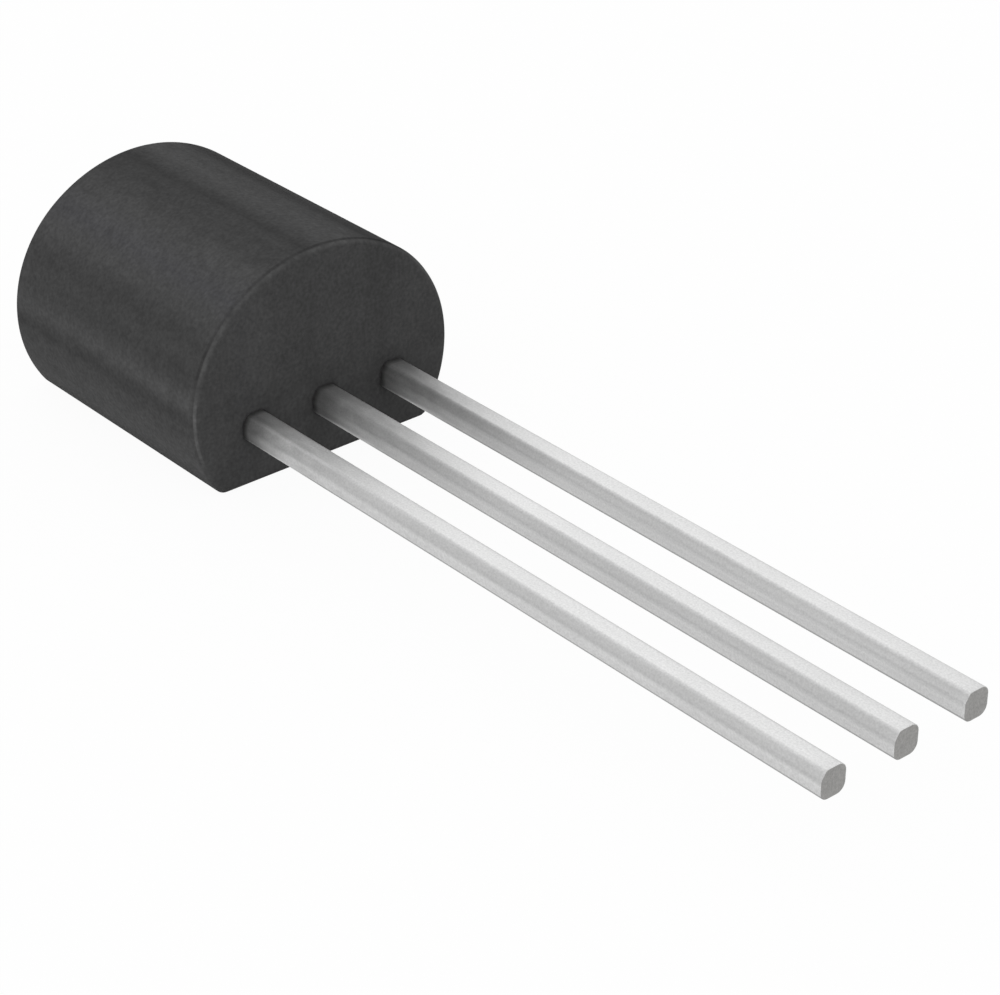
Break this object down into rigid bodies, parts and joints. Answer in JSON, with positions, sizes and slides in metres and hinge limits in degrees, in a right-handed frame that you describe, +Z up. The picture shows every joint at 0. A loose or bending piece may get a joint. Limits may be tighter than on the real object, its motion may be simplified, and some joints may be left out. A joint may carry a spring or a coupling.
{
  "type": "to-92 transistor",
  "caption": "Small through-hole transistor: a dark moulded body with a round back and a flat, lying on the flat, with straight parallel tinned leads out of one end.",
  "frame": {"origin": "on the axis of the middle lead, where it leaves the body's end face", "axes": "+X along the leads towards their cut tips, +Y across the row towards the base lead, +Z up from the flat to the crown of the round back"},
  "size_m": [0.0164, 0.0046, 0.0035],
  "materials": {
    "moulding": "matte",
    "tinned_metal": "satin",
    "silicon": "polished",
    "solder": "satin",
    "gold_wire": "gloss"
  },
  "bodies": {
    "root": {"body": "moulding", "collector_lead": "tinned_metal", "base_lead": "tinned_metal", "emitter_lead": "tinned_metal", "die": "silicon", "die_attach": "solder", "base_bond_wire": "gold_wire", "emitter_bond_wire": "gold_wire"}
  },
  "joints": []
}
